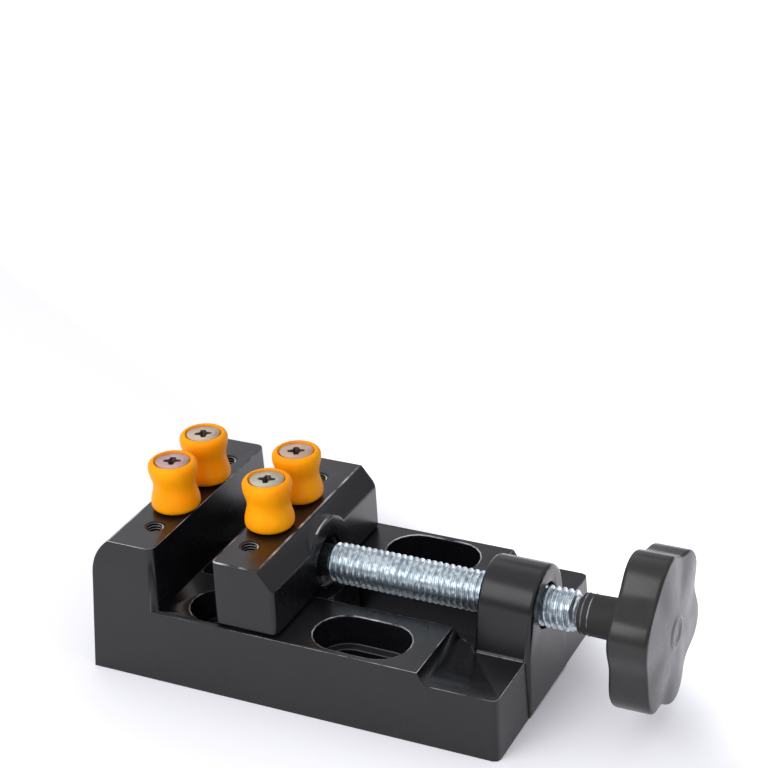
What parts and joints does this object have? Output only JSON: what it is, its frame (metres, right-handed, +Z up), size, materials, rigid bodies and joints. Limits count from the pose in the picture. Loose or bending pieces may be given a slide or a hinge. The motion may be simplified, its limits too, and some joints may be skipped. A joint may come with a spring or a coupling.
{
  "type": "drill press vise",
  "caption": "Small low vise for a drill press: cast base with a fixed jaw, a sliding jaw moved by a captive lead screw with a lobed knob, and screwed-on clamping pegs.",
  "frame": {"origin": "on the underside of the base, below the middle of the fixed jaw, in the middle of the width", "axes": "+X along the lead screw from the fixed jaw to the knob, +Y across the jaws, +Z up from the underside"},
  "size_m": [0.1324, 0.057, 0.0463],
  "materials": {
    "casting": "black anodised, satin",
    "zinc_steel": "bright zinc plated, bluish",
    "knob_plastic": "moulded, satin charcoal",
    "peg_plastic": "moulded, soft satin orange",
    "peg_screws": "passivated zinc, faint iridescence"
  },
  "bodies": {
    "base": {"base": "casting", "fixed_peg_near": "peg_plastic", "fixed_peg_far": "peg_plastic", "fixed_peg_screw_near": "peg_screws", "fixed_peg_screw_far": "peg_screws"},
    "sliding_jaw": {"moving_jaw": "casting", "keeper_plate": "zinc_steel", "keeper_screw_front": "zinc_steel", "keeper_screw_rear": "zinc_steel", "retaining_screw": "zinc_steel", "moving_peg_near": "peg_plastic", "moving_peg_far": "peg_plastic", "moving_peg_screw_near": "peg_screws", "moving_peg_screw_far": "peg_screws"},
    "spindle": {"lead_screw": "zinc_steel", "knob": "knob_plastic"}
  },
  "joints": [
    {"name": "jaw_slide", "type": "slide", "parent": "base", "child": "sliding_jaw", "axis": [1, 0, 0], "range_m": [-0.013, 0.0382]},
    {"name": "screw_turn", "type": "hinge", "parent": "sliding_jaw", "child": "spindle", "pos_m": [0.0408, 0, 0.023], "axis": [1, 0, 0], "range_deg": [-3125, 9175]}
  ],
  "couplings": [
    {"joint": "screw_turn", "follows": "jaw_slide", "rad_per_m": 4188.8}
  ]
}
